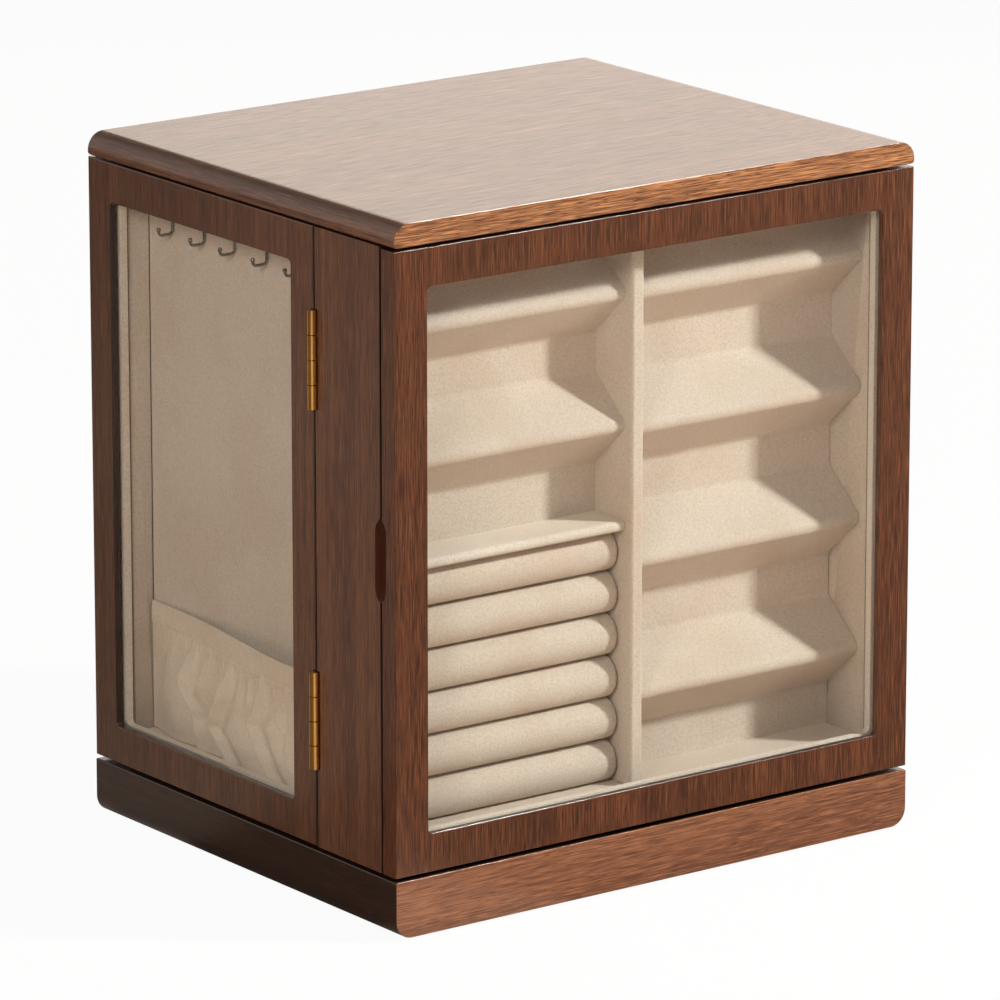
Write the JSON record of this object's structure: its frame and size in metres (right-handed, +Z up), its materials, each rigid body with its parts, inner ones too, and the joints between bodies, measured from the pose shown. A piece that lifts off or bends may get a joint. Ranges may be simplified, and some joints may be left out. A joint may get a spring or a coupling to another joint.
{
  "type": "rotating jewelry box",
  "caption": "Walnut jewelry cabinet that turns on a flat base, with glass doors over velvet compartments for earrings, rings and necklaces, and drawers at the back.",
  "frame": {"origin": "centre of the footprint, on the table under the rubber feet", "axes": "+Z up along the turning axis, -Y towards the front glass door, +X to the right seen from the front"},
  "size_m": [0.2524, 0.202, 0.2752],
  "materials": {
    "walnut": "satin",
    "inner_board": "matt",
    "velvet": "short pile",
    "velvet_pale": "short pile",
    "pocket_cloth": "soft cloth",
    "clear_glass": "polished",
    "brass": "polished",
    "hook_wire": "satin",
    "zinc_steel": "zinc plated",
    "rubber_black": "matt"
  },
  "bodies": {
    "base": {"base_plinth": "walnut", "base_feet": "rubber_black", "bearing_lower_plate": "zinc_steel", "bearing_base_screws": "zinc_steel"},
    "ball_ring": {"bearing_balls": "zinc_steel"},
    "cabinet": {"bearing_upper_plate": "zinc_steel", "bearing_cabinet_screws": "zinc_steel", "bottom_panel": "walnut", "top_panel": "walnut", "top_slab": "walnut", "left_stile": "walnut", "right_stile": "walnut", "partition_panel": "inner_board", "back_left_post": "walnut", "back_right_post": "walnut", "back_rails": "walnut", "core_panels": "inner_board", "drawer_shelves": "inner_board", "front_liner_boards": "velvet", "center_divider": "velvet", "earring_tiers_left": "velvet", "earring_tiers_right": "velvet", "ring_shelf": "velvet_pale", "ring_rolls": "velvet", "left_liner_boards": "velvet", "right_liner_boards": "velvet", "necklace_board_left": "velvet", "necklace_board_right": "velvet", "necklace_hooks_left": "hook_wire", "necklace_hooks_right": "hook_wire", "pocket_left": "pocket_cloth", "pocket_right": "pocket_cloth", "door_magnets": "zinc_steel", "hinge_fixed_leaves": "brass", "hinge_pins": "brass", "hinge_fixed_screws": "brass"},
    "front_door": {"front_door_frame": "walnut", "front_door_glass": "clear_glass", "front_door_bead": "velvet", "front_door_hinge_leaves": "brass", "front_door_screws": "brass"},
    "left_door": {"left_door_frame": "walnut", "left_door_glass": "clear_glass", "left_door_bead": "velvet", "left_door_hinge_leaves": "brass", "left_door_screws": "brass"},
    "right_door": {"right_door_frame": "walnut", "right_door_glass": "clear_glass", "right_door_bead": "velvet", "right_door_hinge_leaves": "brass", "right_door_screws": "brass"},
    "drawer_1": {"drawer_front_1": "walnut", "drawer_box_1": "inner_board", "drawer_lining_1": "velvet"},
    "drawer_2": {"drawer_front_2": "walnut", "drawer_box_2": "inner_board", "drawer_lining_2": "velvet"},
    "drawer_3": {"drawer_front_3": "walnut", "drawer_box_3": "inner_board", "drawer_lining_3": "velvet"}
  },
  "joints": [
    {"name": "cabinet_spin", "type": "hinge", "parent": "base", "child": "cabinet", "pos_m": [0, 0, 0.021], "axis": [0, 0, 1], "continuous": true},
    {"name": "ball_ring_spin", "type": "hinge", "parent": "base", "child": "ball_ring", "pos_m": [0, 0, 0.021], "axis": [0, 0, 1], "continuous": true},
    {"name": "front_door_hinge", "type": "hinge", "parent": "cabinet", "child": "front_door", "pos_m": [0.12415, -0.092, 0.145], "axis": [0, 0, 1], "range_deg": [0, 110]},
    {"name": "left_door_hinge", "type": "hinge", "parent": "cabinet", "child": "left_door", "pos_m": [-0.12415, -0.0499, 0.145], "axis": [0, 0, 1], "range_deg": [0, 110]},
    {"name": "right_door_hinge", "type": "hinge", "parent": "cabinet", "child": "right_door", "pos_m": [0.12415, -0.0499, 0.145], "axis": [0, 0, -1], "range_deg": [0, 110]},
    {"name": "drawer_1_slide", "type": "slide", "parent": "cabinet", "child": "drawer_1", "axis": [0, 1, 0], "range_m": [0, 0.11]},
    {"name": "drawer_2_slide", "type": "slide", "parent": "cabinet", "child": "drawer_2", "axis": [0, 1, 0], "range_m": [0, 0.11]},
    {"name": "drawer_3_slide", "type": "slide", "parent": "cabinet", "child": "drawer_3", "axis": [0, 1, 0], "range_m": [0, 0.11]}
  ],
  "couplings": [
    {"joint": "ball_ring_spin", "follows": "cabinet_spin", "ratio": 0.5}
  ]
}
